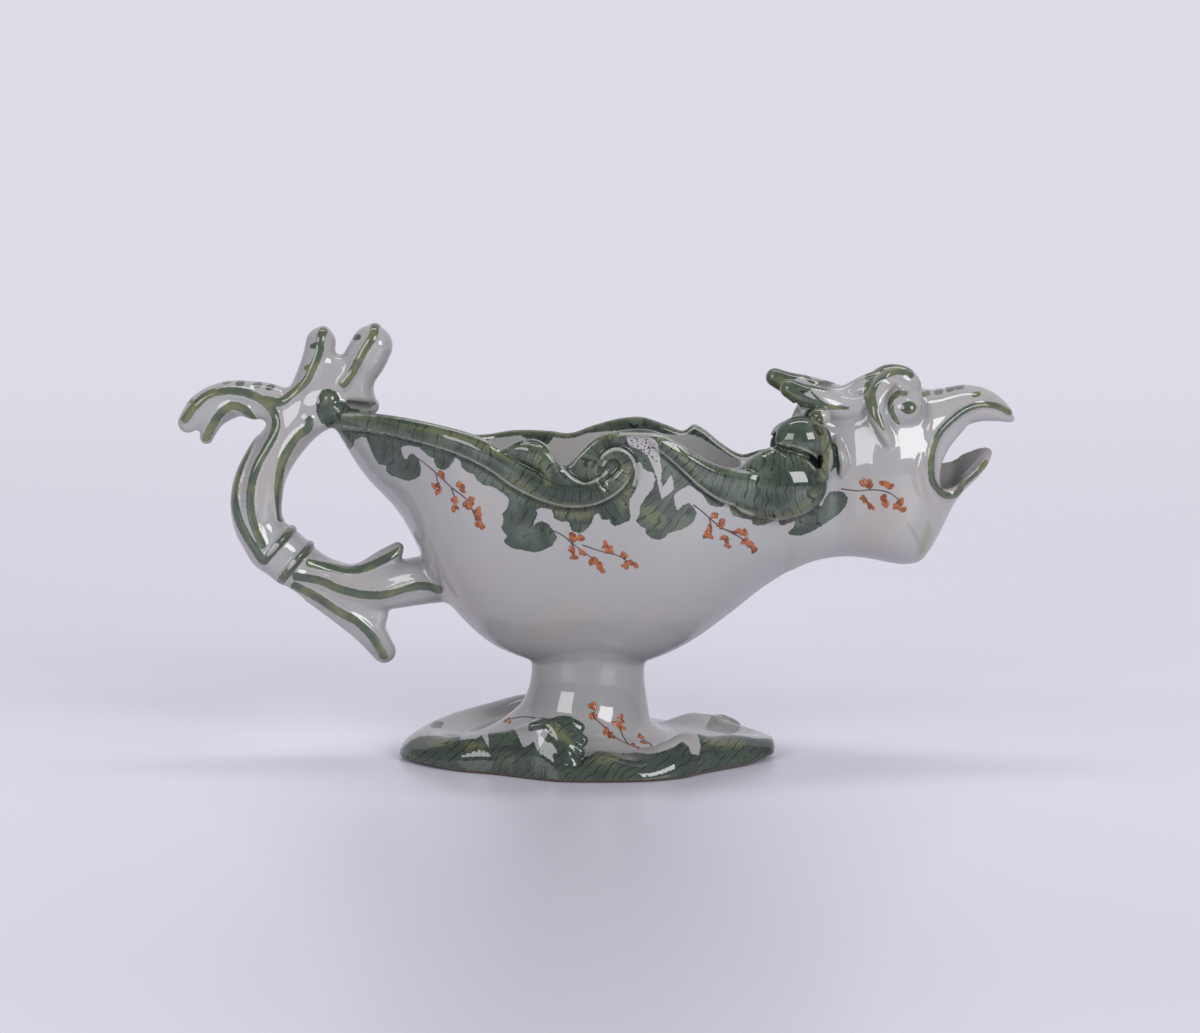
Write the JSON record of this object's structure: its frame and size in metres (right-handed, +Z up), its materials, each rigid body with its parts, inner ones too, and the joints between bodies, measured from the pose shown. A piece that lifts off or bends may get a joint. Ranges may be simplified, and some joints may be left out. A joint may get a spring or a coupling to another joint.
{
  "type": "sauceboat",
  "caption": "Tin-glazed earthenware sauceboat on a pedestal foot, a beaked animal's head as its spout and a branched scroll as its handle, painted with green leafage and orange sprigs.",
  "frame": {"origin": "on the table, under the middle of the overall length and breadth", "axes": "+X along the boat towards the beak, +Y to the animal's left, +Z up"},
  "size_m": [0.2495, 0.0837, 0.131],
  "materials": {
    "glaze": "glossy bluish-white tin glaze with a faint pink-beige tint, painted with orange sprigs and green stripes",
    "green_glaze": "glossy grey-green painted leafage under the same glaze, hatched darker and yellowed along its ridges"
  },
  "bodies": {
    "root": {"bowl": "glaze", "neck_and_head": "glaze", "upper_beak": "glaze", "lower_jaw": "glaze", "shell_knob_right": "green_glaze", "stern_scroll_right": "green_glaze", "bow_scroll_right": "green_glaze", "brow_right": "glaze", "eye_right": "glaze", "horn_right": "green_glaze", "shell_knob_left": "green_glaze", "stern_scroll_left": "green_glaze", "bow_scroll_left": "green_glaze", "brow_left": "glaze", "eye_left": "glaze", "horn_left": "green_glaze", "handle_strut": "glaze", "handle_collar": "glaze", "handle_arm": "glaze", "handle_hook": "glaze", "handle_curl": "glaze", "thumb_rest": "glaze", "upper_spur": "glaze", "lower_spur": "glaze", "stern_pearl_right": "green_glaze", "stern_pearl_left": "green_glaze", "foot_plate": "green_glaze", "foot_leaf": "green_glaze", "pedestal": "glaze"}
  },
  "joints": []
}
